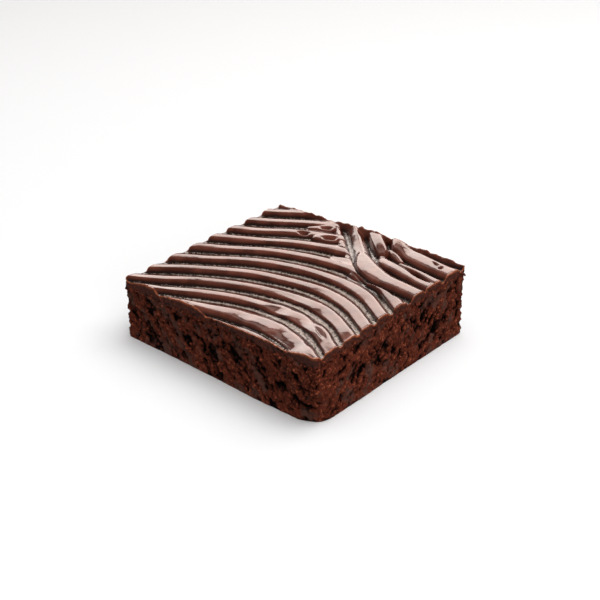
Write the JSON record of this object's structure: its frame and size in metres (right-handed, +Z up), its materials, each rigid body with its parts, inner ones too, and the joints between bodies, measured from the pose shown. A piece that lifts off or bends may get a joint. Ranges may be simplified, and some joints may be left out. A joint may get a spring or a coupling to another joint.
{
  "type": "chocolate brownie",
  "caption": "Square-cut chocolate brownie: a dense dark crumb slab with pitted sides under a glossy combed chocolate icing.",
  "frame": {"origin": "middle of the flat base, directly below the centre of the slab's box", "axes": "+Z up out of the base, +X along the longer cut side, +Y along the shorter one, away from the side that the knife ran nearly along the ridges"},
  "size_m": [0.0662, 0.0612, 0.0206],
  "materials": {
    "crumb": "dense baked cocoa crumb, dark and matte, with a faint fat sheen on its smeared faces",
    "icing": "glossy set chocolate icing, dull and rough at the bottom of its grooves and on its cut faces"
  },
  "bodies": {
    "root": {"cake": "crumb", "icing": "icing"}
  },
  "joints": []
}
